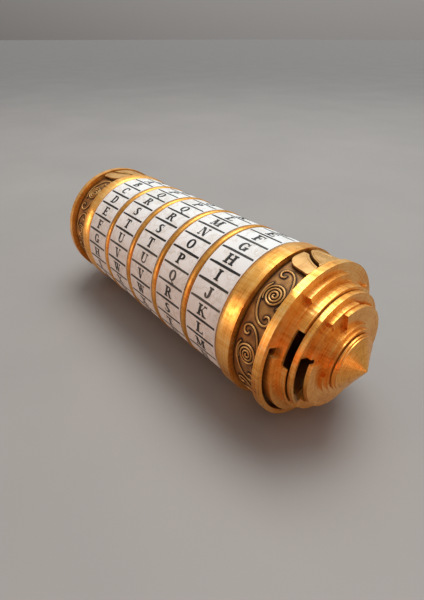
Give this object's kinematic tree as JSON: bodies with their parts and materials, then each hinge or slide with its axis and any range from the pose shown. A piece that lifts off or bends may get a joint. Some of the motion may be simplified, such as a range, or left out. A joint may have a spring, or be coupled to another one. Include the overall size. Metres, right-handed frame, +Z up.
{
  "type": "cryptex",
  "caption": "Cylindrical letter-dial puzzle lock lying on its side; turning the dials into line frees an end cap that pulls out with the hidden message tube.",
  "frame": {"origin": "on the drum's axis, half way between the two cone tips", "axes": "+X along the drum's axis towards the cap that pulls out, +Z up, +Y to the left of someone who looks along +X"},
  "size_m": [0.1812, 0.0594, 0.0594],
  "materials": {
    "silk_gold": "printed silk-gold plastic with fine layer lines",
    "washed_gold": "silk-gold plastic relief with a dark antique wash",
    "inner_gold": "printed silk-gold plastic, as printed",
    "letter_paper": "printed marbled paper",
    "steel": "zinc-plated steel"
  },
  "bodies": {
    "barrel": {"barrel_tube": "inner_gold", "retaining_ring": "inner_gold", "ring_screw_1": "steel", "ring_screw_2": "steel", "ring_screw_3": "steel", "spacer_ring_1": "silk_gold", "spacer_ring_2": "silk_gold", "spacer_ring_3": "silk_gold", "spacer_ring_4": "silk_gold", "far_cap_body": "silk_gold", "far_scroll_band": "washed_gold", "far_leaf_front": "silk_gold", "far_leaf_back": "silk_gold", "far_end_plate": "silk_gold", "far_crown": "silk_gold", "far_cone": "silk_gold", "far_cap_bolt": "steel"},
    "chamber": {"chamber_tube": "inner_gold", "locking_comb": "steel", "comb_screw_1": "steel", "comb_screw_2": "steel", "near_cap_body": "silk_gold", "near_scroll_band": "washed_gold", "near_leaf_front": "silk_gold", "near_leaf_back": "silk_gold", "near_end_plate": "silk_gold", "near_crown": "silk_gold", "near_cone": "silk_gold", "near_cap_bolt": "steel"},
    "dial_1": {"dial_shell_1": "silk_gold", "letter_band_1": "letter_paper", "code_ring_1": "inner_gold"},
    "dial_2": {"dial_shell_2": "silk_gold", "letter_band_2": "letter_paper", "code_ring_2": "inner_gold"},
    "dial_3": {"dial_shell_3": "silk_gold", "letter_band_3": "letter_paper", "code_ring_3": "inner_gold"},
    "dial_4": {"dial_shell_4": "silk_gold", "letter_band_4": "letter_paper", "code_ring_4": "inner_gold"},
    "dial_5": {"dial_shell_5": "silk_gold", "letter_band_5": "letter_paper", "code_ring_5": "inner_gold"}
  },
  "joints": [
    {"name": "dial_1_turn", "type": "hinge", "parent": "barrel", "child": "dial_1", "pos_m": [0, 0, 0], "axis": [1, 0, 0], "continuous": true},
    {"name": "dial_2_turn", "type": "hinge", "parent": "barrel", "child": "dial_2", "pos_m": [0, 0, 0], "axis": [1, 0, 0], "continuous": true},
    {"name": "dial_3_turn", "type": "hinge", "parent": "barrel", "child": "dial_3", "pos_m": [0, 0, 0], "axis": [1, 0, 0], "continuous": true},
    {"name": "dial_4_turn", "type": "hinge", "parent": "barrel", "child": "dial_4", "pos_m": [0, 0, 0], "axis": [1, 0, 0], "continuous": true},
    {"name": "dial_5_turn", "type": "hinge", "parent": "barrel", "child": "dial_5", "pos_m": [0, 0, 0], "axis": [1, 0, 0], "continuous": true},
    {"name": "chamber_slide", "type": "slide", "parent": "barrel", "child": "chamber", "axis": [1, 0, 0], "range_m": [0, 0.118]}
  ]
}
